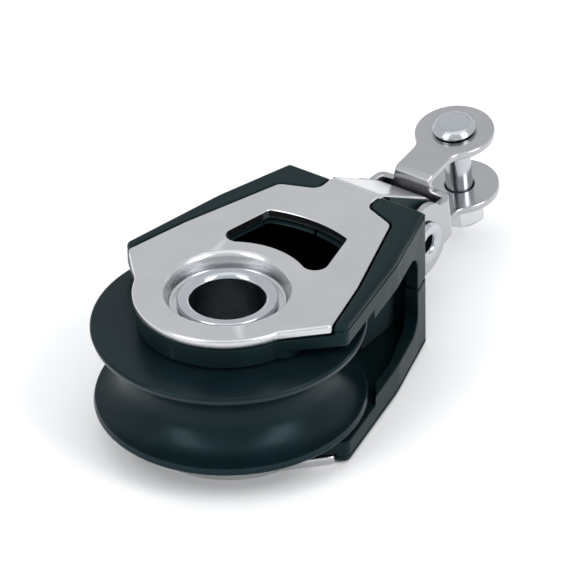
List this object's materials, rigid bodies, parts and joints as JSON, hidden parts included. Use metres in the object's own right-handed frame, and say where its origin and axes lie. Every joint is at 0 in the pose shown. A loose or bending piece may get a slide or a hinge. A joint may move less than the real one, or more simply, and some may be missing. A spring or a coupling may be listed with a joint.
{
  "type": "pulley block",
  "caption": "Single ball-bearing sheave block for rope, with a steel strap, black cheeks, a flared centre hub and a toggle clevis head.",
  "frame": {"origin": "under the middle of the bounding box, on the surface that the lower side plate rests on", "axes": "+Z along the sheave's axis, +Y towards the toggle head, X across the block"},
  "size_m": [0.04, 0.0858, 0.0242],
  "materials": {
    "stainless_steel": "satin",
    "polished_steel": "polished",
    "black_shell": "satin",
    "sheave_black": "satin",
    "white_acetal": "satin"
  },
  "bodies": {
    "block": {"strap": "stainless_steel", "upper_cheek": "black_shell", "lower_cheek": "black_shell", "head_spacer": "black_shell", "centre_hub": "polished_steel", "inner_race": "polished_steel", "upper_side_washer": "white_acetal", "lower_side_washer": "white_acetal"},
    "sheave": {"sheave": "sheave_black", "upper_ball_retainer": "white_acetal", "lower_ball_retainer": "white_acetal"},
    "ball_set": {"upper_ball_01": "white_acetal", "upper_ball_02": "white_acetal", "upper_ball_03": "white_acetal", "upper_ball_04": "white_acetal", "upper_ball_05": "white_acetal", "upper_ball_06": "white_acetal", "upper_ball_07": "white_acetal", "upper_ball_08": "white_acetal", "upper_ball_09": "white_acetal", "upper_ball_10": "white_acetal", "upper_ball_11": "white_acetal", "upper_ball_12": "white_acetal", "upper_ball_13": "white_acetal", "upper_ball_14": "white_acetal", "lower_ball_01": "white_acetal", "lower_ball_02": "white_acetal", "lower_ball_03": "white_acetal", "lower_ball_04": "white_acetal", "lower_ball_05": "white_acetal", "lower_ball_06": "white_acetal", "lower_ball_07": "white_acetal", "lower_ball_08": "white_acetal", "lower_ball_09": "white_acetal", "lower_ball_10": "white_acetal", "lower_ball_11": "white_acetal", "lower_ball_12": "white_acetal", "lower_ball_13": "white_acetal", "lower_ball_14": "white_acetal"},
    "toggle": {"toggle": "stainless_steel", "head_rivet": "polished_steel"},
    "clevis_pin": {"clevis_pin": "polished_steel", "cap_nut": "polished_steel"}
  },
  "joints": [
    {"name": "sheave_spin", "type": "hinge", "parent": "block", "child": "sheave", "pos_m": [0, -0.02293, 0.0121], "axis": [0, 0, 1], "continuous": true},
    {"name": "ball_orbit", "type": "hinge", "parent": "block", "child": "ball_set", "pos_m": [0, -0.02293, 0.0121], "axis": [0, 0, 1], "continuous": true},
    {"name": "toggle_swing", "type": "hinge", "parent": "block", "child": "toggle", "pos_m": [0, 0.01747, 0.0121], "axis": [1, 0, 0], "range_deg": [-62, 47]},
    {"name": "clevis_pin_turn", "type": "hinge", "parent": "toggle", "child": "clevis_pin", "pos_m": [0, 0.0361, 0.01462], "axis": [0, -0.134, 0.991], "continuous": true}
  ],
  "couplings": [
    {"joint": "ball_orbit", "follows": "sheave_spin", "ratio": 0.602}
  ]
}
